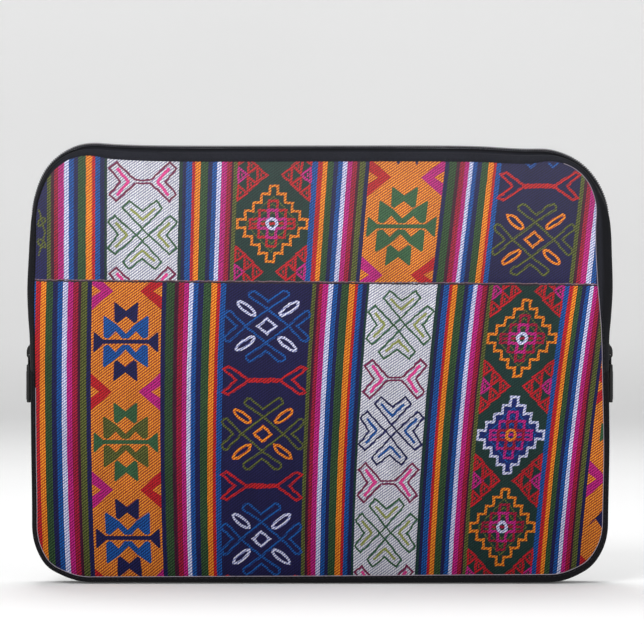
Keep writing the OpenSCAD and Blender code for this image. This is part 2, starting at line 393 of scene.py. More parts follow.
def mesh_piece(name, part, material, smooth=True):
    points, faces, weave = part
    faces = outward(points, faces)
    mesh = bpy.data.meshes.new(name)
    points = (np.asarray(points, float) * MM).tolist()
    mesh.from_pydata(points, [], [tuple(int(i) for i in f) for f in faces])
    mesh.materials.append(MATERIALS[material])
    mesh.polygons.foreach_set("use_smooth", [smooth] * len(faces))
    piece = linked(name, mesh)
    attach(piece, "weave", "FLOAT_VECTOR", "POINT", weave)
    mesh.update()
    return piece


def skin(rings, sides, loop=False):
    """The faces over so many rings of points, with its two ends unless the rings loop."""
    faces = []
    for i in range(rings if loop else rings - 1):
        a, b = i * sides, (i + 1) % rings * sides
        for j in range(sides):
            k = (j + 1) % sides
            faces.append((a + j, a + k, b + k, b + j))
    if not loop:
        faces.append(tuple(range(sides - 1, -1, -1)))
        faces.append(tuple((rings - 1) * sides + j for j in range(sides)))
    return faces


def swept(stations, section):
    """A solid along stations. section(station) gives its ring of (n, y) points. The third
    number of its weave is n."""
    points, weave = [], []
    for st in stations:
        ring = section(st)
        travel = 0.0
        for j, (n, y) in enumerate(ring):
            if j:
                travel += math.dist(ring[j - 1], (n, y))
            points.append(st.point(n, y))
            weave.append((st.run, travel, n))
    return points, [(f[0], *f[:0:-1]) for f in skin(len(stations), len(ring))], weave


def round_off(line, steps=3):
    """A smooth curve through the points of a line, ends kept."""
    line = [np.array(p, float) for p in line]
    out = []
    for a, b, c, d in zip(line[:1] + line, line, line[1:], line[2:] + line[-1:]):
        for t in np.arange(steps) / steps:
            out.append(0.5 * (2 * b + (c - a) * t + (2 * a - 5 * b + 4 * c - d) * t * t
                              + (3 * b - a - 3 * c + d) * t ** 3))
    return out + line[-1:]


def thick(line, thickness):
    """A closed ring round a line, with half the thickness on each side and rounded ends."""
    line = np.array(line, float)
    along = np.gradient(line, axis=0)
    along /= np.linalg.norm(along, axis=1)[:, None]
    side = np.stack([-along[:, 1], along[:, 0]], 1) * thickness / 2
    near, far = line + side, line - side
    first = line[0] - along[0] * thickness * 0.35
    last = line[-1] + along[-1] * thickness * 0.35
    return [*map(tuple, near), tuple(last), *map(tuple, far[::-1]), tuple(first)]


def joined(parts):
    """Several parts as one."""
    points, faces, weave = [], [], []
    for p, f, w in parts:
        base = len(points)
        points.extend(p)
        weave.extend(w)
        faces.extend(tuple(i + base for i in face) for face in f)
    return points, faces, weave


def run_along(path):
    """The way along a path of points up to each of them."""
    steps = np.linalg.norm(np.diff(path, axis=0), axis=1)
    return np.concatenate([[0], np.cumsum(steps)])


def on_path(at, run, table):
    """The rows of a table, one for each point of a path, at places along that path."""
    return np.stack([np.interp(at, run, column) for column in np.transpose(table)], 1)


def tube(path, radius, sides, loop=False):
    """A round solid along a path of 3-D points, which may be a loop."""
    path = np.asarray(path, float)
    if loop:
        along = np.roll(path, -1, axis=0) - np.roll(path, 1, axis=0)
    else:
        along = np.gradient(path, axis=0)
    along /= np.linalg.norm(along, axis=1)[:, None]
    side = np.cross(along[0], (0.3, 0.5, 0.81))
    frames = []
    for t in along:
        side = side - t * float(side @ t)
        side = side / np.linalg.norm(side)
        frames.append(side)
    frames = np.array(frames)
    other = np.cross(along, frames)
    angles = 2 * math.pi * np.arange(sides) / sides
    offset = (frames[:, None] * np.cos(angles)[None, :, None]
              + other[:, None] * np.sin(angles)[None, :, None]) * radius
    points = (path[:, None] + offset).reshape(-1, 3)
    weave = np.stack([np.repeat(run_along(path), sides), np.tile(radius * angles, len(path)),
                      np.zeros(len(points))], 1)
    return points, skin(len(path), sides, loop), weave


def folds(piece, *nodes):
    """A front piece with its transform baked into its mesh, in place of these nodes."""
    if nodes:
        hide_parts(*nodes)
    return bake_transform(piece)


def stays(piece, *nodes, body="root"):
    """A piece that rides on one body, in place of these nodes."""
    if nodes:
        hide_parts(*nodes)
    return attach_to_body(piece, body)


FRONT, BACK = -1, 1
SIDES = ((FRONT, "front", folds), (BACK, "back", stays))

# ---------------------------------------------------------------- panels

RING = outline(2.5)


def edge_loop(extra=0.0):
    """The edge of a panel's face, extra mm further in, in x and z."""
    return np.array([st.at(st.border + extra) for st in RING])


PANEL_EDGE = edge_loop()


def near_edge(extra, steps):
    """Rows of points beside a panel's edge, so many mm further in than extra."""
    return [st.at(st.border + extra + k) for st in RING for k in steps]


def loop_distance(points, loop, batch=4000):
    """How far each point in x and z lies from a loop, worked out in batches."""
    along = np.roll(loop, -1, axis=0) - loop
    squared = (along * along).sum(1)
    best = []
    for start in range(0, len(points), batch):
        q = points[start:start + batch, None] - loop
        t = np.clip((q * along).sum(2) / squared, 0, 1)
        gap = q - along * t[:, :, None]
        best.append(np.sqrt((gap * gap).sum(2).min(1)))
    return np.concatenate(best)


def relief(x, z):
    """How far the padded panel's face sinks (-) or swells (+) from its flat plane."""
    d = loop_distance(np.stack([x, z], 1), PANEL_EDGE)
    roll = -1.5 * np.exp(-((d + 0.2) / 2.1) ** 1.2)
    pucker = 0.10 * np.exp(-d / 5.0) * np.sin(0.75 * x + 1.3 * np.sin(0.21 * z)) * np.sin(
        0.71 * z + 1.1 * np.sin(0.17 * x))
    broad = 0.28 * np.sin(0.021 * x + 0.6) * np.sin(0.028 * z + 0.4)
    sway = 0.12 * np.sin(0.055 * x + 0.012 * z) + 0.07 * np.sin(0.083 * x - 0.03 * z + 1.0)
    return roll + pucker + (broad + sway) * (1 - np.exp(-d / 12.0))


def relief_normals(x, z):
    """The panel's outward normals, as if its front faced -y."""
    step = 0.1
    slope_x = (relief(x + step, z) - relief(x - step, z)) / (2 * step)
    slope_z = (relief(x, z + step) - relief(x, z - step)) / (2 * step)
    normals = np.stack([-slope_x, -np.ones(len(x)), -slope_z], 1)
    return normals / np.linalg.norm(normals, axis=1)[:, None]


def inside(points, loop):
    """Which points lie inside a loop."""
    x, z = points[:, 0], points[:, 1]
    odd = np.zeros(len(points), bool)
    for (x0, z0), (x1, z1) in zip(loop, np.roll(loop, -1, axis=0)):
        hit = (z0 > z) != (z1 > z)
        with np.errstate(divide="ignore", invalid="ignore"):
            cross = (x1 - x0) * (z - z0) / (z1 - z0) + x0
        odd ^= hit & (x < cross)
    return odd


def triangulated(loop, spacing, near=()):
    """Points and triangles that fill a loop: its own points, a grid, and the points near."""
    low, high = loop.min(0), loop.max(0)
    rows = int((high[1] - low[1]) / spacing)
    grid = []
    for r in range(1, rows + 1):
        z = low[1] + r * (high[1] - low[1]) / (rows + 1)
        x = low[0] + 1 + (r % 2) * spacing / 2
        while x < high[0]:
            grid.append((x, z))
            x += spacing * 1.1
    grid = np.array(grid)
    clear = np.linalg.norm(grid[:, None] - loop, axis=2).min(1) > spacing * 0.55
    grid = grid[inside(grid, loop) & clear]
    points = [Vector(p) for p in (*loop, *grid, *near)]
    got = geometry.delaunay_2d_cdt(points, [], [list(range(len(loop)))], 1, 1e-5, True)
    return np.array([tuple(p) for p in got[0]]), got[2]


def closed_sheet(faces, count):
    """The faces of a solid whose front is a sheet of count points, and whose back is the same
    sheet of points again."""
    solid = [tuple(f) for f in faces] + [tuple(i + count for i in reversed(f)) for f in faces]
    edges = dict.fromkeys((a, b) for f in faces for a, b in zip(f, (*f[1:], f[0])))
    rim = [(a, b) for a, b in edges if (b, a) not in edges]
    return solid + [(b, a, a + count, b + count) for a, b in rim]


def sheet_piece(name, flat, solid, side, depths, material):
    """A closed piece of a panel over flat points in x and z, its outer and inner face at the
    depths |y|, shaded by the panel's relief."""
    x, z = flat.T
    points = np.concatenate([np.stack([x, side * depth, z], 1) for depth in depths])
    weave = np.stack([points[:, 0], points[:, 2], np.zeros(len(points))], 1)
    piece = mesh_piece(name, (points, solid, weave), material)
    normals = relief_normals(x, z) * (1, -side, 1)
    piece.data.normals_split_custom_set_from_vertices(np.concatenate([normals, -normals]))
    return piece


def layer_piece(name, side, extra, outer, inner, material, spacing=7.0):
    """A closed layer of a panel, its edge extra mm further in. outer and inner are its two
    surfaces: the depth |y|, what is added at the edge, and its share of the panel's relief."""
    loop = edge_loop(extra)
    flat, faces = triangulated(loop, spacing, near_edge(extra, (0.8, 1.8, 3.0, 4.6)))
    gap, swell = loop_distance(flat, loop), relief(*flat.T)
    depths = [depth + at_edge * np.exp(-gap / 1.5) + share * swell
              for depth, at_edge, share in (outer, inner)]
    return sheet_piece(name, flat, closed_sheet(faces, len(flat)), side, depths, material)


# ---------------------------------------------------------------- the print

# Each dye: the yarn's colour, the colour between its yarns, and how much that shows.
DYES = {
    "navy": ((34, 35, 92), (12, 12, 40), 0.8),
    "blue": ((28, 96, 176), (12, 32, 84), 0.85),
    "white": ((236, 234, 248), (96, 108, 168), 0.85),
    "magenta": ((212, 38, 140), (98, 12, 68), 0.8),
    "crimson": ((180, 26, 62), (72, 10, 32), 0.8),
    "maroon": ((78, 22, 52), (36, 10, 28), 0.8),
    "olive": ((108, 112, 54), (38, 46, 24), 0.95),
    "green": ((62, 96, 56), (18, 36, 28), 0.95),
    "deep_green": ((30, 64, 58), (12, 28, 34), 0.8),
    "orange": ((255, 162, 44), (160, 58, 18), 0.95),
    "red": ((208, 34, 42), (96, 12, 26), 0.75),
    "white_ground": ((240, 240, 240), (120, 122, 152), 0.92),
    "orange_ground": ((255, 160, 48), (132, 46, 34), 1.0),
    "navy_ground": ((32, 30, 80), (16, 14, 46), 0.8),
    "green_ground": ((32, 62, 56), (16, 34, 36), 0.8),
    "blue_ground": ((28, 46, 118), (16, 18, 62), 0.7),
    "leaf": ((62, 104, 68), (26, 54, 40), 0.7),
    "lime": ((164, 168, 96), (86, 100, 52), 0.7),
    "plum": ((130, 40, 80), (74, 22, 52), 0.7),
    "pink": ((236, 72, 152), (160, 40, 100), 0.6),
    "thread": ((128, 104, 112), (84, 62, 72), 0.6),
    "shade": ((44, 32, 42), (28, 20, 32), 0.5),
}

# The stripes between two blocks of the woven cloth, with their widths.
BANDS = {
    "before_white": [
        ("olive", 2.4), ("maroon", 1.8), ("crimson", 2.4), ("magenta", 3.3), ("white", 2.9),
        ("blue", 3.0), ("navy", 2.3), ("green", 4.7), ("orange", 3.6), ("red", 1.8),
        ("blue", 3.0), ("navy", 2.4), ("deep_green", 1.6)],
    "before_green": [
        ("deep_green", 2.2), ("navy", 2.0), ("blue", 3.5), ("red", 1.8), ("orange", 3.1),
        ("green", 4.4), ("navy", 2.4), ("blue", 2.8), ("white", 2.6), ("magenta", 3.2),
        ("crimson", 2.8), ("maroon", 1.2), ("olive", 2.4)],
    "before_orange": [
        ("blue", 3.4), ("red", 2.8), ("orange", 2.8), ("green", 3.6), ("navy", 2.6),
        ("blue", 2.8), ("white", 2.6), ("magenta", 2.9), ("crimson", 2.9), ("maroon", 1.5),
        ("olive", 3.3), ("navy", 2.4)],
    "before_navy": [
        ("navy", 2.4), ("green", 4.5), ("maroon", 2.1), ("crimson", 3.0), ("magenta", 2.6),
        ("white", 2.3), ("blue", 2.6), ("navy", 2.8), ("green", 4.2), ("orange", 3.0),
        ("red", 1.8), ("blue", 3.0)],
}
# The width of block that each motif is drawn for.
BLOCKS = {"loops": 14.4, "white": 42.0, "green": 43.0, "orange": 44.0, "navy": 49.0}
SEAM_Z = 181.3


class Cloth:
    """One of the two woven cloths in the print. s is the place across it, which is x at the
    height base, and its stripes lean more to the right the further right they are: lean is
    their slope at s = 0, what a mm of s adds to it, and its limits. curve bends them. A
    block's second copy is named far_."""

    def __init__(self, base, lean, curve, low, high, start, parts):
        self.base, self.lean, self.curve = base, lean, curve
        self.low, self.high = low, high
        self.edges, self.blocks = [], {}
        for name, width in parts:
            self.edges.append((name, start, start + width))
            key = "far_" + name if name in self.blocks else name
            self.blocks[key] = (start + width / 2, width / BLOCKS.get(name, width))
            start += width

    def shift(self, s, z):
        """How far the place s has moved to the right at the height z."""
        first, per_mm, least, most = self.lean
        dz = z - self.base
        return np.clip(first + per_mm * s, least, most) * dz + self.curve * dz * dz

    def x(self, s, z):
        return s + self.shift(s, z)

    def s(self, x, z):
        s = np.array(x, float)
        for _ in range(6):
            s = x - self.shift(s, z)
        return s


UPPER = Cloth(
    212.0, (0.070, 0.0006, 0.0, 0.117), 0.0, SEAM_Z - 3.0, 262.0, -178.0,
    [("loops", 14.4), ("before_white", 36.0), ("white", 42.6), ("before_green", 34.5),
     ("green", 43.5), ("before_orange", 33.6), ("orange", 44.4), ("before_navy", 33.6),
     ("navy", 48.6), ("before_white", 36.0)])
LOWER = Cloth(
    69.0, (0.036, 0.00053, -0.02, 0.108), 0.00021, -3.0, SEAM_Z + 3.0, -174.4,
    [("before_orange", 37.6), ("orange", 41.4), ("before_navy", 36.3), ("navy", 48.9),
     ("before_white", 32.4), ("white", 38.4), ("before_green", 31.8), ("green", 40.5),
     ("before_orange", 28.6), ("orange", 40.0)])


def unsteady(a, b):
    """A steady pseudo-random number from -1 to 1 for a place."""
    v = math.sin(a * 12.9898 + b * 78.233 + 3.7) * 43758.5453
    return 2 * (v - math.floor(v)) - 1


def convex(points):
    turns = set()
    for (x0, z0), (x1, z1), (x2, z2) in zip(points, points[1:] + points, points[2:] + points):
        turn = (x1 - x0) * (z2 - z1) - (z1 - z0) * (x2 - x1)
        turns.add(0 if abs(turn) < 1e-3 else 1 if turn > 0 else -1)
    return turns in ({1}, {-1})


class Painter:
    """Flat shapes in x and z, each with a dye. Later shapes lie over earlier ones. part is 1
    for what shows above the print's seam only, -1 for below it only, and 0 for both."""

    # The longest piece of a yarn, how far it wanders, and how much its width varies.
    STITCH, WANDER, UNEVEN = 1.9, 0.28, 0.16

    def __init__(self):
        self.points, self.shapes, self.part = [], [], 0

    def shape(self, points, dye):
        ahead = points[1:] + points[:1]
        area = sum(x0 * z1 - x1 * z0 for (x0, z0), (x1, z1) in zip(points, ahead))
        if abs(area) < 0.02:
            return
        first = len(self.points)
        self.points.extend(points if area > 0 else points[::-1])
        self.shapes.append((list(range(first, len(self.points))), dye, self.part))

    def stroke(self, line, width, dye, closed=False):
        """A yarn laid along a line, which wanders a little and swells at each stitch."""
        fine = []
        for (x0, z0), (x1, z1) in zip(line, line[1:] + line[:1] * closed):
            parts = max(1, round(math.hypot(x1 - x0, z1 - z0) / self.STITCH))
            for k in range(parts):
                t = k / parts
                x, z = x0 + (x1 - x0) * t, z0 + (z1 - z0) * t
                fine.append((x + self.WANDER * unsteady(x, z), z + self.WANDER * unsteady(z, x)))
        if not closed:
            fine.append(line[-1])
        p = np.array(fine)
        ends = (p[-1], p[0]) if closed else (2 * p[0] - p[1], 2 * p[-1] - p[-2])
        steps = np.diff(np.vstack([ends[0], p, ends[1]]), axis=0)
        steps /= np.maximum(np.linalg.norm(steps, axis=1), 1e-6)[:, None]
        behind, ahead = steps[:-1], steps[1:]
        middle = ahead + behind
        middle /= np.maximum(np.linalg.norm(middle, axis=1), 0.3)[:, None]
        miter = 1 / np.maximum((middle * ahead).sum(1), 0.62)
        half = np.array([width / 2 * (1 + self.UNEVEN * unsteady(x + 1, z)) for x, z in fine])
        side = np.stack([-middle[:, 1], middle[:, 0]], 1) * (half * miter)[:, None]
        left, right = [tuple(q) for q in p + side], [tuple(q) for q in p - side]
        for i in range(len(fine) if closed else len(fine) - 1):
            j = (i + 1) % len(fine)
            a, b, c, d = right[i], right[j], left[j], left[i]
            for piece in ([a, b, c, d],) if convex([a, b, c, d]) else ([a, b, c], [a, c, d]):
                self.shape(piece, dye)


class Motif:
    """Draws in mm round a centre in a block of a cloth, squeezed across to fit the block."""

    def __init__(self, painter, cloth, block, z):
        self.painter, self.cloth, self.z = painter, cloth, z
        self.s, self.scale = cloth.blocks[block]

    def placed(self, points):
        return [(float(self.cloth.x(self.s + x * self.scale, self.z + y)), self.z + y)
                for x, y in points]

    def shape(self, points, dye):
        self.painter.shape(self.placed(points), dye)

    def stroke(self, points, width, dye, closed=False):
        self.painter.stroke(self.placed(points), width, dye, closed)


def turned(points, quarters):
    """The points after so many quarter turns."""
    for _ in range(quarters):
        points = [(-y, x) for x, y in points]
    return points


def flipped(points, sx=-1, sy=1):
    """The points mirrored left to right, or top to bottom."""
    return [(sx * x, sy * y) for x, y in points]


def both_halves(half):
    """A closed outline from its right half, whose points are mirrored to the left."""
    return half + [(-x, y) for x, y in reversed(half) if x]


def diamond(half_w, half_h):
    """A diamond that starts at its left end, or at its right end if half_w is negative."""
    return [(-half_w, 0), (0, half_h), (half_w, 0), (0, -half_h)]


def oval(x, y, length, width, degrees, count=14):
    a = math.radians(degrees)
    out = []
    for i in range(count):
        t = 2 * math.pi * i / count
        u, v = length / 2 * math.cos(t), width / 2 * math.sin(t)
        out.append((x + u * math.cos(a) - v * math.sin(a), y + u * math.sin(a) + v * math.cos(a)))
    return out


def chevron_cross(m, outer, inner):
    """Four chevrons that point at the middle, on a white block."""
    wing = both_halves([(0, 14.4), (8.0, 20.4), (11.6, 16.2), (0, 3.7)])
    line = [(-7.4, 16.0), (0.0, 9.2), (7.4, 16.0)]
    for quarters in range(4):
        m.stroke(turned(wing, quarters), 1.15, outer, True)
        m.stroke(turned(line, quarters), 1.5, inner)
    m.stroke(diamond(3.6, 3.6), 1.0, outer, True)


def white_dumbbell(m, outer, inner):
    """Two chevrons joined by a double bar, on a white block."""
    wing = [(-4.4, 0.9), (-15.4, 11.6), (-19.6, 7.8), (-13.2, 0.0), (-19.6, -7.8),
            (-15.4, -11.6), (-4.4, -0.9)]
    line = [(-15.2, 8.2), (-8.4, 0.0), (-15.2, -8.2)]
    for side in (-1, 1):
        m.stroke(flipped(wing, side), 1.25, outer)
        m.stroke(flipped(line, side), 1.8, inner)
        m.stroke([(-4.4, side * 0.9), (4.4, side * 0.9)], 1.1, outer)


def loop_cross(m, lines, loops):
    """A diamond with four slender wings and four loops, on a navy block."""
    top = both_halves([(0, 14.9), (7.7, 21.0), (9.6, 21.2), (11.2, 19.8), (11.3, 17.9), (0, 10.4)])
    right = turned(both_halves([(0, 12.4), (9.0, 21.2), (9.2, 23.0), (7.6, 24.3), (6.0, 24.0),
                                (0, 17.4)]), 3)
    for wing in (top, flipped(top, 1, -1), flipped(right), right):
        m.stroke(wing, 1.35, lines, True)
    m.stroke(diamond(-12.4, 10.2), 1.4, lines, True)
    for sx in (-1, 1):
        for sy in (-1, 1):
            m.stroke(oval(sx * 12.2, sy * 10.6, 12.5, 4.0, sx * sy * 37), 1.5, loops, True)
    m.stroke(diamond(-5.2, 4.6), 1.5, loops, True)


def navy_dumbbell(m, dye):
    """Two forked ends joined by a bar, on a navy block."""
    wing = [(-10.5, 1.2), (-21.0, 8.4), (-24.2, 7.0), (-16.5, 0.0), (-24.2, -7.0),
            (-21.0, -8.4), (-10.5, -1.2)]
    for side in (wing, flipped(wing)):
        m.stroke(side, 1.5, dye)
    m.stroke([(-10.8, 0), (10.8, 0)], 2.8, dye)


def stepped(half_w, half_h, steps):
    """A diamond with a staircase edge."""
    dx, dy = half_w / (steps + 0.5), half_h / (steps + 0.5)
    quarter = [(half_w - i * dx, (i + k) * dy)
               for i in range(steps + 1) for k in (-0.5, 0.5) if i or k > 0]
    upper = quarter + flipped(quarter[::-1])
    return upper + flipped(upper, -1, -1)


def stepped_diamond(m, edge, rows, middle, core, rings, field=None):
    """Diamonds within a stepped diamond, on a green block."""
    if field:
        m.shape(stepped(19.6, 21.8, 4), field)
    for reach in (6.5, 11.0, 15.5):
        m.stroke(diamond(reach, reach * 1.08), 0.9, rings, True)
    m.stroke(stepped(13.0, 13.6, 2), 1.5, rows, True)
    m.stroke([(-12.0, 0), (12.0, 0)], 1.6, rows)
    m.stroke(stepped(7.8, 8.2, 1), 1.7, middle, True)
    m.stroke(oval(0, 0, 5.6, 6.2, 0, 10), 1.8, core, True)
    m.stroke(stepped(20.6, 22.8, 4), 1.5, edge, True)


def lattice(m):
    """Outlined triangles in a pyramid on each edge of a green block, pointing inwards."""
    base, deep, edge = 10.8, 5.6, 21.0
    for side in (-1, 1):
        for row in range(3):
            for k in range(3 - row):
                y = (k - (2 - row) / 2) * base
                x0 = side * (edge - row * deep)
                x1 = side * (edge - (row + 1) * deep + 0.3)
                dye = "magenta" if row == 0 and k == 1 else "red"
                half = base / 2 - 0.9
                m.stroke([(x0, y - half), (x0, y + half), (x1, y)], 1.5, dye, True)
                m.stroke([(x0 - side * 1.8, y - 1.2), (x0 - side * 1.8, y + 1.2)], 1.0, dye)


def butterfly(m, bows, arms):
    """Crowns above and below an X, with a triangle and a bar on each side."""
    crown = both_halves([(0, 18.5), (6.6, 23.4), (7.7, 23.4), (7.3, 12.2), (5.4, 11.0), (0, 15.2)])
    wing = [(13.6, 15.4), (14.4, 14.6), (14.2, 3.0), (12.4, 1.9), (10.7, 2.1), (6.4, 6.3),
            (2.2, 1.9), (0, 1.9), (0, 4.8), (5.6, 10.2)]
    end = [(20.4, 5.6), (19.4, 5.4), (14.4, 1.3), (0, 1.2), (0, -1.2), (14.4, -1.3),
           (19.4, -6.0), (20.6, -6.2)]
    for sy in (1, -1):
        m.shape(flipped(crown, 1, sy), bows)
        for sx in (-1, 1):
            m.shape(flipped(wing, sx, sy), arms)
    for sx in (-1, 1):
        m.shape(flipped(end, sx), bows)


def side_triangles(m, *dyes):
    """A solid triangle with a triangular hole on an orange block's left edge, and if there is
    a second dye another on its right edge."""
    for side, dye in zip((-1, 1), dyes):
        m.shape([(side * 22.0, -11.3), (side * 22.0, 11.3), (side * 8.6, 0)], dye)
        m.shape([(side * 22.0, -3.6), (side * 22.0, 3.6), (side * 16.4, 0)], "orange_ground")


def crown_tips(m, dye):
    for x in (-5.4, 5.4):
        m.shape([(x - 3.4, 2.0), (x + 3.4, 2.0), (x, -5.0)], dye)


def ticks(m, dye):
    for x in (-6.6, 6.6):
        m.stroke([(x - 3.0, 1.5), (x, -1.5), (x + 3.0, 1.5)], 1.4, dye)


def side_loops(m, dye):
    for side in (-1, 1):
        m.stroke(oval(3.8, side * 6.3, 6.0, 3.2, side * 50, 10), 1.3, dye, True)
    m.stroke([(2.0, -14), (6.0, 0), (2.0, 14)], 1.2, dye)


def far_shapes(m):
    m.shape([(-17, 34), (-10, 28), (-17, 22)], "leaf")
    m.shape([(-22, -31), (-8, -17), (-8, -31), (-14, -24)], "navy")


# What is drawn on each cloth: the block, the motif, its dyes, and the heights of its middle.
UPPER_MOTIFS = [
    ("white", white_dumbbell, ("plum", "pink"), 241.1, 178.0),
    ("white", chevron_cross, ("leaf", "lime"), 209.1),
    ("green", stepped_diamond, ("orange", "red", "magenta", "white", "olive"), 215.9),
    ("green", lattice, (), 186.9, 245.1),
    ("orange", butterfly, ("leaf", "leaf"), 214.3),
    ("orange", side_triangles, ("red", "magenta"), 243.6),
    ("orange", side_triangles, ("magenta", "red"), 185.1),
    ("orange", crown_tips, ("navy",), 256.0),
    ("navy", navy_dumbbell, ("red",), 238.4),
    ("navy", loop_cross, ("olive", "orange"), 206.4),
    ("navy", ticks, ("blue",), 251.1),
    ("loops", side_loops, ("olive",), 210.6),
]
LOWER_MOTIFS = [
    ("orange", butterfly, ("navy", "blue"), 145.1, 27.3),
    ("orange", butterfly, ("leaf", "olive"), 84.9),
    ("orange", side_triangles, ("magenta", "red"), 175.5, 56.1),
    ("orange", side_triangles, ("red", "magenta"), 114.9, -2.5),
    ("navy", loop_cross, ("blue", "white"), 154.4, 26.7),
    ("navy", loop_cross, ("olive", "orange"), 89.7),
    ("navy", navy_dumbbell, ("red",), 121.9, 58.5, -4.0),
    ("white", chevron_cross, ("leaf", "lime"), 155.1, 30.3),
    ("white", chevron_cross, ("navy", "blue"), 91.5),
    ("white", white_dumbbell, ("plum", "pink"), 122.7, 60.6, -1.0),
    ("green", lattice, (), 175.5, 118.2, 61.8, 5.1),
    ("green", stepped_diamond, ("orange", "crimson", "magenta", "white", "olive"), 147.1, 33.9),
    ("green", stepped_diamond, ("white", "magenta", "crimson", "orange", "blue", "blue_ground"),
     89.1),
    ("far_orange", side_triangles, ("magenta",), 62.7),
    ("far_orange", far_shapes, (), 62.7),
    ("far_orange", side_triangles, ("red",), 118.0, 6.0),
]


def paint_cloth(painter, cloth, motifs):
    """The stripes and plain grounds of a cloth, with slightly uneven edges, and its motifs."""
    zs = np.arange(cloth.low, cloth.high + 0.01, (cloth.high - cloth.low) / 32)

    def edge(s):
        x = cloth.x(s, zs)
        return [(float(a + 0.12 * unsteady(s, z)), float(z)) for a, z in zip(x, zs)]

    for name, s0, s1 in cloth.edges:
        ground = "navy" if name == "loops" else name + "_ground"
        stripes = BANDS.get(name, [(ground, 1.0)])
        total = sum(width for _, width in stripes)
        at = s0
        for dye, width in stripes:
            after = at + width * (s1 - s0) / total
            painter.shape(edge(at) + edge(after)[::-1], dye)
            at = after
    for block, draw, dyes, *heights in motifs:
        for z in heights:
            draw(Motif(painter, cloth, block, z), *dyes)


def seam_z(x):
    """The height at which the upper cloth in the print ends and the lower one starts."""
    return SEAM_Z - 0.3 - 0.0080 * x


def paint_seam(painter):
    """The upper cloth's hem: a pale thread, and the shade under it."""
    for drop, width, dye in ((0.75, 0.9, "shade"), (0.0, 0.55, "thread")):
        line = [(float(x), seam_z(x) - drop) for x in range(-176, 180, 4)]
        painter.stroke(line, width, dye)


def print_mesh():
    """The printed face as one flat sheet: its points, its triangles and their dyes."""
    painter = Painter()
    painter.part = -1
    paint_cloth(painter, LOWER, LOWER_MOTIFS)
    painter.part = 1
    paint_cloth(painter, UPPER, UPPER_MOTIFS)
    painter.part = 0
    paint_seam(painter)
    loop = edge_loop()
    grid = triangulated(loop, 4.2)[0][len(loop):]
    near = near_edge(0.0, (0.7, 1.6, 2.8))
    seam = [(x, seam_z(x)) for x in range(-178, 178, 4)]
    first = len(painter.points)
    points = [Vector((float(x), float(z)))
              for x, z in (*painter.points, *loop, *grid, *near, *seam)]
    edges = [(i, i + 1) for i in range(len(points) - len(seam), len(points) - 1)]
    for shape in [range(first, first + len(loop)), *(shape for shape, _, _ in painter.shapes)]:
        edges += zip(shape, [*shape[1:], shape[0]])
    got = geometry.delaunay_2d_cdt(points, edges, [], 0, 1e-3, False)
    flat, faces = np.array([tuple(p) for p in got[0]]), np.array(got[2])
    faces = faces[inside(flat[faces].mean(1), loop)]
    middle = flat[faces].mean(1)
    half = np.sign(middle[:, 1] - seam_z(middle[:, 0]))
    order = np.argsort(middle[:, 0])
    across = middle[order, 0]
    dyes = np.full(len(faces), "navy", object)
    for shape, dye, part in painter.shapes:
        corners = np.array([painter.points[i] for i in shape])
        low, high = corners.min(0), corners.max(0)
        close = order[slice(*np.searchsorted(across, (low[0], high[0])))]
        close = close[(middle[close, 1] > low[1]) & (middle[close, 1] < high[1])
                      & (half[close] * part >= 0)]
        dyes[close[inside(middle[close], corners)]] = dye
    used, index = np.unique(faces, return_inverse=True)
    return flat[used], index.reshape(-1, 3), list(dyes)


def print_piece():
    """The printed fabric, with a plain back."""
    flat, faces, dyes = print_mesh()
    solid = closed_sheet(faces.tolist(), len(flat))
    dyes += ["white_ground"] * (len(solid) - len(dyes))
    bulge = FACE_Y + relief(*flat.T)
    piece = sheet_piece("front_print", flat, solid, FRONT, (bulge, bulge - 0.5), "print")
    yarn = {dye: rgba(colour) for dye, (colour, _, _) in DYES.items()}
    between = {dye: rgba(colour, share) for dye, (_, colour, share) in DYES.items()}
    for name, colours in (("dye", yarn), ("between", between)):
        spread = np.repeat([colours[d] for d in dyes], [len(f) for f in solid], axis=0)
        attach(piece, name, "FLOAT_COLOR", "CORNER", spread)
    x, z = np.tile(flat, (2, 1)).T
    upper = z > seam_z(x)
    cloth = [np.where(upper, UPPER.s(x, z), LOWER.s(x, z)), z, np.where(upper, 5.0, 0.0)]
    attach(piece, "cloth", "FLOAT_VECTOR", "POINT", np.stack(cloth, 1))
    return piece


PRINT = print_piece()
folds(PRINT, "front_print_lower", "front_print_upper")

# ---------------------------------------------------------------- padded panels


def panel_layers():
    for side, name, place in SIDES:
        ends = ("_lower", "_upper") if side == FRONT else ("",)
        pad = layer_piece(name + "_pad", side, 0.5, (11.9, 0, 1), (9.1, 0.9, 0), "foam")
        lining = layer_piece(name + "_lining_sheet", side, 0.4, (9.0, 1.0, 0.1),
                             (8.5, 1.0, 0.1), "lining")
        place(pad, *(f"{name}_foam{end}" for end in ends))
        place(lining, *(f"{name}_lining{end}" for end in ends))
    face = layer_piece("back_panel_face", BACK, 0.0, (12.5, 0, 1), (12.0, 0, 1), "face", 5.0)
    stays(face, "back_face")


panel_layers()

# ---------------------------------------------------------------- gusset


def both_sides(front):
    """A line of (n, y) points on the front half, continued mirrored to the back."""
    return front + [(n, -y) for n, y in reversed(front)]


def skin_section(st):
    b = st.border
    front = [
        (b + 0.7, -9.9), (b + 0.15, -10.35), (b - 0.6, -10.8), (b * 0.6, -11.15),
        (b * 0.3 + 0.2, -10.9), (0.75, -10.3), (0.62, -9.8), (0.85, -9.35), (0.5, -8.8),
        (0.38, -6.0), (0.34, -2.0),
    ]
    return thick(round_off(both_sides(front)), 0.8)


def gusset_pad_section(st):
    b = st.border
    front = [(b - 0.5, -10.2), (b * 0.55, -10.6), (1.35, -9.9), (1.3, -8.9), (0.95, -8.2),
             (0.9, -3.0)]
    back = [(b - 0.3, 9.3), (3.2, 8.6), (3.25, 3.0)]
    return both_sides(front) + both_sides(back)


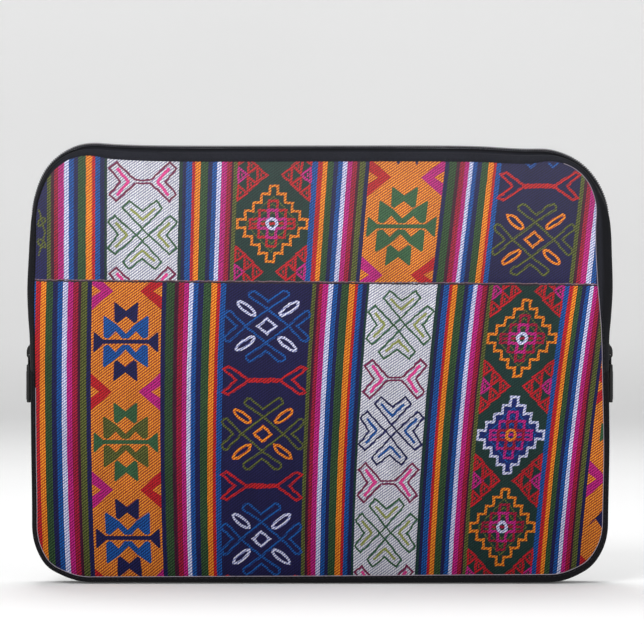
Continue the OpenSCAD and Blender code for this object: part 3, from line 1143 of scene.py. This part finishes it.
def gusset_lining_section(st):
    front = [(st.border + 0.1, -9.4), (3.75, -8.4), (3.65, -6.5), (3.6, -2.0)]
    return thick(round_off(both_sides(front)), 0.5)


def binding_section(side):
    """The tape folded over an inner seam, which hugs the gusset's lining."""
    def section(st):
        line = [(st.border + 1.15, 9.0), (4.55, 8.3), (4.42, 6.4), (4.45, 4.9), (4.3, 4.3),
                (4.02, 4.45), (4.06, 5.0), (4.06, 6.4), (4.12, 8.3)]
        return thick(round_off([(n, side * y) for n, y in line]), 0.28)
    return section


def gusset():
    around = stretch(3.0, 0, 3.0)
    parts = [
        ("gusset_skin", skin_section, "face", "gusset_face", "black_face"),
        ("gusset_pad", gusset_pad_section, "foam", "gusset_foam", "foam"),
        ("gusset_lining_sheet", gusset_lining_section, "lining", "gusset_lining", "lining"),
        ("front_binding", binding_section(FRONT), "binding", "front_seam_binding", "binding"),
        ("back_binding", binding_section(BACK), "binding", "back_seam_binding", "binding"),
    ]
    for name, section, material, node, slot in parts:
        piece = mesh_piece(name, swept(around, section), material)
        stays(piece, node)
    length = around[-1].run * MM


gusset()

# ---------------------------------------------------------------- zip

TAPE_T = 0.7
COIL_PITCH, TURN_STEPS = 1.4, 12
# Half the height and half the width of the coil's wire loops, and the radii of wire and cord.
LOOP_H, LOOP_W, WIRE_R, CORD_R = 1.1, 0.64, 0.33, 0.46


def tape_line(st):
    """The middle of the zip tape's section, from the coil over its bend to the panel. The bend
    lies further in towards the top, and near its end the tape tucks in under the gusset."""
    u, b, cy = st.rise, st.border, st.coil_y
    bend = 5.6 * smooth((st.at(0)[1] - 205.0) / 58.0)
    bow_n = min(0.35 + bend, 0.5 * b) + 0.7 * smooth((3.02 - st.place) / 0.05)
    start = st.coil_n + 0.08 + 0.75 * u * u
    return [
        (start, cy + 0.5), (start + 0.5 * u, cy + 1.5 - 0.8 * u),
        (st.coil_n * (1 - u) + (3.4 + u) * u, cy + 4.0 - 3.2 * u), (bow_n, 8.2 + 1.9 * u),
        ((bow_n + b) / 2, 10.35 + 0.4 * u), (b - 0.9, 10.85), (b - 0.1, 10.55), (b + 0.7, 10.1),
    ]


def painted_tape_shade(n, z):
    """How light the tape's painted shade leaves it at inset n: dark beside the coil, and dark
    further in below.
    """
    first = 5.6 - 3.1 * smooth((z - 215.0) / 45.0)
    return smooth((n - first) / 1.4)


def tape_section(side):
    def section(st):
        return thick(round_off([(n, side * y) for n, y in tape_line(st)]), TAPE_T)
    return section


def coil_rows(stations, side):
    """One coil row, a nylon wire wound round a cord at the tape's edge, and that cord."""
    base, head, across = [], [], []
    for st in stations:
        (n0, y0), (n1, y1) = (st.coil_n, st.coil_y), tape_line(st)[2]
        size = math.hypot(n0 - n1, y0 - y1)
        dn, dy = (n0 - n1) / size, (y0 - y1) / size
        base.append(st.point(n0, side * y0))
        head.append((-st.out[0] * dn, side * dy, -st.out[1] * dn))
        across.append((st.out[0] * dy, side * dn, st.out[1] * dy))
    run = run_along(base)
    turns = int(run[-1] / COIL_PITCH)
    at = np.linspace(0, run[-1], turns * TURN_STEPS + 1)
    phase = 2 * math.pi * np.arange(len(at))[:, None] / TURN_STEPS
    middle = on_path(at, run, base)
    wire = middle + on_path(at, run, head) * (LOOP_H * np.cos(phase))
    wire += on_path(at, run, across) * (LOOP_W * np.sin(phase))
    return tube(wire, WIRE_R, 5), tube(middle[::TURN_STEPS], CORD_R, 6)


def zips():
    around = stretch(2.4, 2.96, 7)
    fine = stretch(1.2, 3.0, 7)
    for side, name, place in SIDES:
        points, faces, weave = swept(around, tape_section(side))
        # Painted shade: the tape darkens beside the coil and further in below, and the cord, whose
        # third weave number is 0, gets the darkest painted shade.
        weave = [(*w[:2], painted_tape_shade(w[2], p[2])) for w, p in zip(weave, points)]
        wound, cord = coil_rows(fine, side)
        cloth = (points, outward(points, faces), weave)
        tape = mesh_piece(name + "_tape", joined([cloth, cord]), "tape")
        coil = mesh_piece(name + "_coil", wound, "coil")
        front = side == FRONT
        place(tape, name + "_zip_tape", *["front_tape_ends"] * front)
        place(coil, name + "_zip_coil", *["front_coil_ends"] * front)
        around[-1].run * MM


zips()

# ---------------------------------------------------------------- stitches and the cut edge

STITCH_PITCH = 3.1


def stitches(places, normals, length, radius, lift):
    """A row of raised stitches along a line of 3-D places, lifted along their normals."""
    run = run_along(places)
    rise = np.array([-radius * 1.1, 0.55 * lift, lift, 0.55 * lift, -radius * 1.1])
    parts = []
    for k in range(int(run[-1] / STITCH_PITCH)):
        at = (k + 0.5) * STITCH_PITCH + np.array([-0.5, -0.32, 0.0, 0.32, 0.5]) * length
        line = on_path(at, run, places) + on_path(at, run, normals) * rise[:, None]
        parts.append(tube(line, radius, 5))
    return joined(parts)


def surface_depth(ring, n):
    """How deep in |y| a section's front surface lies at inset n."""
    best = 0.0
    for (n0, y0), (n1, y1) in zip(ring, ring[1:] + ring[:1]):
        if min(n0, n1) <= n <= max(n0, n1) and n0 != n1:
            best = max(best, -(y0 + (y1 - y0) * (n - n0) / (n1 - n0)))
    return best


def seams():
    """The topstitching beside each panel and along the gusset, and the print's cut edge."""
    step, inset, clear = 2.4, 1.3, 0.03
    ring = outline(step)
    for side, name, place in SIDES:
        line = []
        for st in ring + ring[:1]:
            n = st.border - inset
            section = tape_section(FRONT) if st.place > 3 else skin_section
            line.append(st.point(n, side * (surface_depth(section(st), n) + clear)))
        row = stitches(line, [(0.0, side, 0.0)] * len(line), 2.3, 0.16, 0.08)
        piece = mesh_piece(name + "_topstitch", row, "thread")
        place(piece)
    around = stretch(step, 0, 2.97)
    normals = [(st.out[0], 0.0, st.out[1]) for st in around]
    rows = [stitches([st.point(0.42, y) for st in around], normals, 2.2, 0.17, 0.06)
            for y in (-9.35, 9.35)]
    piece = mesh_piece("gusset_topstitch", joined(rows), "thread")
    stays(piece)
    left = [st for st in ring if st.side < 0 and st.place <= 2.9]
    right = [st for st in ring if st.side > 0 and st.place <= 5.7]
    line = [st.point(st.border - 0.02, -11.05) for st in left + right]
    piece = mesh_piece("front_cut_edge", tube(line, 0.27, 6), "edge")
    folds(piece)


seams()

# ---------------------------------------------------------------- sliders and pulls

ZIP_X = BODY_W / 2 - COIL_R
SLIDER_Z = 139.0
PIVOT_U, PIVOT_Z = 2.6, 136.5
GRIP_U, GRIP_TOP, GRIP_L, GRIP_HALF_T = 2.75, 131.3, 23.0, 1.05

# These parts are made at the right zip end: x counts outwards from the coil row, and y and z
# are the frame's own.


def prism(outline_uv, low, high, axis, bevel, segments=2):
    """A prism along an axis with bevelled edges. The outline's two coordinates are those of
    the two other axes."""
    points = [tuple(np.insert(p, axis, level)) for level in (low, high) for p in outline_uv]
    count = len(outline_uv)
    faces = [tuple(range(count - 1, -1, -1)), tuple(range(count, 2 * count))]
    for i in range(count):
        k = (i + 1) % count
        faces.append((i, k, k + count, i + count))
    made = bmesh.new()
    verts = [made.verts.new(p) for p in points]
    for f in outward(points, faces):
        made.faces.new([verts[i] for i in f])
    made.normal_update()
    sharp = [e for e in made.edges if e.calc_face_angle(0.0) > 0.6]
    bmesh.ops.bevel(made, geom=sharp, offset=bevel, segments=segments, profile=0.5,
                    affect="EDGES", clamp_overlap=True)
    made.verts.index_update()
    points = [tuple(v.co) for v in made.verts]
    faces = [tuple(v.index for v in f.verts) for f in made.faces]
    made.free()
    return points, faces, points


def rounded(half_a, half_b, radius, at=(0.0, 0.0), steps=6):
    """A rectangle with round corners."""
    out = []
    for sa, sb, start in ((1, 1, 0), (-1, 1, 90), (-1, -1, 180), (1, -1, 270)):
        for i in range(steps + 1):
            angle = math.radians(start + 90 * i / steps)
            out.append((at[0] + sa * (half_a - radius) + radius * math.cos(angle),
                        at[1] + sb * (half_b - radius) + radius * math.sin(angle)))
    return out


def slider_body():
    """Two plates joined by a neck, with a rail inside each long edge."""
    low, high = SLIDER_Z - 5.0, SLIDER_Z + 5.0
    plate = both_halves([
        (0.0, low), (2.6, low), (3.8, low + 0.5), (4.4, low + 1.5), (4.45, low + 4.5),
        (4.9, low + 6.3), (5.0, low + 8.2), (4.2, low + 9.4), (2.4, high - 0.1),
        (0.9, high - 0.9)])
    neck = [(-0.9, high - 1.4), (0.0, high - 5.4), (0.9, high - 1.4), (0.5, high - 0.9),
            (-0.5, high - 0.9)]
    parts = [prism(neck, -1.25, 1.25, 0, 0.12)]
    for side in (-1, 1):
        parts.append(prism(plate, *sorted((side * 1.2, side * 2.0)), 0, 0.22, 3))
        for s in (-1, 1):
            rail = rounded(0.34, 3.4, 0.3, (s * 4.04, low + 4.0), 3)
            parts.append(prism(rail, *sorted((side * 0.65, side * 1.35)), 0, 0.12))
    return joined(parts)


def slider_bridge():
    """A solid dome with a hook's throat under it, in which the link's crossbar sits."""
    ring = [(1.85, -3.6), (2.9, -3.75), (3.6, -3.3), (3.95, -2.2), (4.0, -0.6), (3.9, 0.9),
            (3.5, 2.4), (2.8, 3.6), (1.85, 4.0), (1.85, -1.75), (2.65, -1.8), (3.2, -2.1),
            (3.25, -2.6), (2.8, -3.15), (1.85, -3.15)]
    return prism([(u, SLIDER_Z + z) for u, z in ring], -1.45, 1.45, 1, 0.13)


def pull_link():
    """A wire bent into a rounded rectangle, in steps of about 1 mm."""
    path = [(PIVOT_U, y, z) for y, z in rounded(2.6, 4.1, 1.1, (0.0, PIVOT_Z - 4.1), 5)]
    fine = []
    for a, b in zip(path, path[1:] + path[:1]):
        count = max(1, round(math.dist(a, b)))
        fine += [np.array(a) + (np.array(b) - a) * k / count for k in range(count)]
    return tube(fine, 0.5, 12, loop=True)


def pull_grip():
    """A flat grip with a raised frame and six ribs on each face."""
    middle = GRIP_TOP - GRIP_L / 2
    body = rounded(4.0, GRIP_L / 2, 2.0, (0.0, middle), 7)
    parts = [prism(body, GRIP_U - GRIP_HALF_T, GRIP_U + GRIP_HALF_T, 0, 0.42, 3)]
    for face in (-1, 1):
        outer = GRIP_U + face * GRIP_HALF_T
        line = [(outer, y, z) for y, z in rounded(3.05, 8.6, 1.3, (0.0, middle - 1.1), 5)]
        parts.append(tube(line, 0.24, 6, loop=True))
        for k in range(6):
            rib = rounded(0.42, 2.1, 0.4, (middle - 6.9 + 2.3 * k, 0.0), 4)
            rib = [(y, z) for z, y in rib]
            parts.append(prism(rib, outer - 0.2, outer + 0.2, 0, 0.14))
    return joined(parts)


def end_stop():
    """A clamp bent round both tapes' edges under the slider."""
    top = SLIDER_Z - 5.4
    ring = [(-1.45, -3.2), (-1.0, -3.2), (-1.0, -1.0), (1.0, -1.0), (1.0, -3.2), (1.45, -3.2),
            (1.45, 3.2), (1.0, 3.2), (1.0, 1.0), (-1.0, 1.0), (-1.0, 3.2), (-1.45, 3.2)]
    return prism(ring, top - 3.6, top, 2, 0.14)


def end_patch():
    """A rectangle of binding over the zip's end, sewn down round its edge."""
    half_y, half_z, middle = 4.2, 9.0, 122.0
    rows, columns = 12, 8
    points = []
    for u, share in ((-3.55, -1), (-3.05, 0.3)):
        for b in np.linspace(-1, 1, rows + 1):
            for a in np.linspace(-1, 1, columns + 1):
                puff = 0.12 * (1 - a ** 4) * (1 - b ** 4)
                sewn = 0.10 * math.exp(-((max(abs(a), abs(b)) - 0.8) / 0.07) ** 2)
                points.append((u + share * (puff - sewn), a * half_y, middle + b * half_z))
    width = columns + 1
    corners = [i * width + j for i in range(rows) for j in range(columns)]
    faces = closed_sheet([(a, a + 1, a + 1 + width, a + width) for a in corners],
                         len(points) // 2)
    return points, faces, [(y, z, 0.0) for _, y, z in points]


def hardware():
    for side, name in ((1, "right"), (-1, "left")):
        parts = [
            ("slider_body", slider_body(), "paint", "slider", name + "_slider", "slider"),
            ("bridge", slider_bridge(), "paint", "slider_bridge", name + "_slider", "slider"),
            ("wire_link", pull_link(), "wire", "pull_link", name + "_pull", "pull_link"),
            ("grip", pull_grip(), "grip", "pull_grip", name + "_pull", "pull_grip"),
            ("clamp", end_stop(), "paint", "end_stop", "root", "end_stop"),
            ("patch", end_patch(), "binding", "end_patch", "root", "binding"),
        ]
        for title, (points, faces, weave), material, node, body, slot in parts:
            points = [(side * (ZIP_X + x), side * y, z) for x, y, z in points]
            weave = np.add(weave, (7, 5, 0))
            piece = mesh_piece(f"{name}_{title}", (points, faces, weave), material,
                               smooth=title != "clamp")
            stays(piece, f"{name}_{node}", body=body)
            title == "patch"


hardware()

# ---------------------------------------------------------------- camera, light, floor


def look():
    """The photo's front view: level, from far off, with a long lens."""
    width, distance, sensor = 386.4, 1700.0, 36.0
    camera = bpy.data.cameras.new("photo_camera")
    camera.sensor_width = sensor
    camera.lens = sensor * distance / width
    camera.clip_end = 20.0
    holder = linked("photo_camera", camera)
    holder.location = (1.4 * MM, (-FACE_Y - distance) * MM, 156.9 * MM)
    holder.rotation_euler = (math.pi / 2, 0, 0)
    bpy.context.scene.camera = holder
    bpy.context.scene.view_settings.view_transform = "Standard"


def area_light(name, place, aim, size, watts):
    """A round light, with its place, aim and size in metres."""
    lamp = bpy.data.lights.new(name, "AREA")
    lamp.shape, lamp.size, lamp.energy = "DISK", size, watts
    holder = linked(name, lamp)
    holder.location = place
    holder.rotation_euler = (Vector(aim) - Vector(place)).to_track_quat("-Z", "Y").to_euler()


def studio():
    """A pale bowl of paper, flat under the object and curved up round it, in metres. It glows
    a little, more so higher up, to even out the backdrop."""
    flat_r, curve_r, sides, steps, drop = 3.0, 1.4, 96, 12, 0.0004
    g = Graph("studio_paper")
    coords = g.node("TexCoord", {}, "Object")
    grain = g.noise(coords, (3.0, 3.0, 3.0), 3.0)
    paper = g.finished({
        "Base Color": g.mix(grain, (0.90, 0.90, 0.90, 1), (0.93, 0.93, 0.93, 1)),
        "Emission Color": (1, 1, 1, 1),
        "Emission Strength": g.ramp(g.xyz(coords)[2], (0.0, 0.05), (0.12, 0.14),
                                    (0.45, 0.20), (1.0, 0.24)),
        "Roughness": 0.9, "Specular IOR Level": 0.1})
    profile = [(0.5, 0.0), (1.5, 0.0)]
    for a in np.linspace(0, math.pi / 2, steps + 1):
        profile.append((flat_r + curve_r * math.sin(a), curve_r - curve_r * math.cos(a)))
    angles = 2 * math.pi * np.arange(sides) / sides
    points = [(r * math.cos(a), r * math.sin(a), z - drop) for r, z in profile for a in angles]
    faces = [f[::-1] for f in skin(len(profile), sides)[:-1]]
    mesh = bpy.data.meshes.new("studio_sweep")
    mesh.from_pydata(points, [], faces)
    mesh.polygons.foreach_set("use_smooth", [True] * len(faces))
    mesh.materials.append(paper)
    sweep = linked("studio_sweep", mesh)
    world = bpy.data.worlds.new("studio_world")
    world.use_nodes = True
    background = world.node_tree.nodes["Background"]
    background.inputs["Color"].default_value = (1, 1, 1, 1)
    background.inputs["Strength"].default_value = 0.42
    bpy.context.scene.world = world
    area_light("key", (-0.9, -1.7, 1.7), (0, 0, 0.15), 1.1, 23.0)
    area_light("fill", (2.2, -2.1, 0.9), (0, 0, 0.13), 1.9, 15.0)
    area_light("top", (0.1, 0.5, 2.0), (0, 0, 0.1), 1.2, 12.0)
    area_light("back", (-0.4, 1.3, 2.4), (0, 0, 0.12), 1.2, 14.0)


look()
studio()
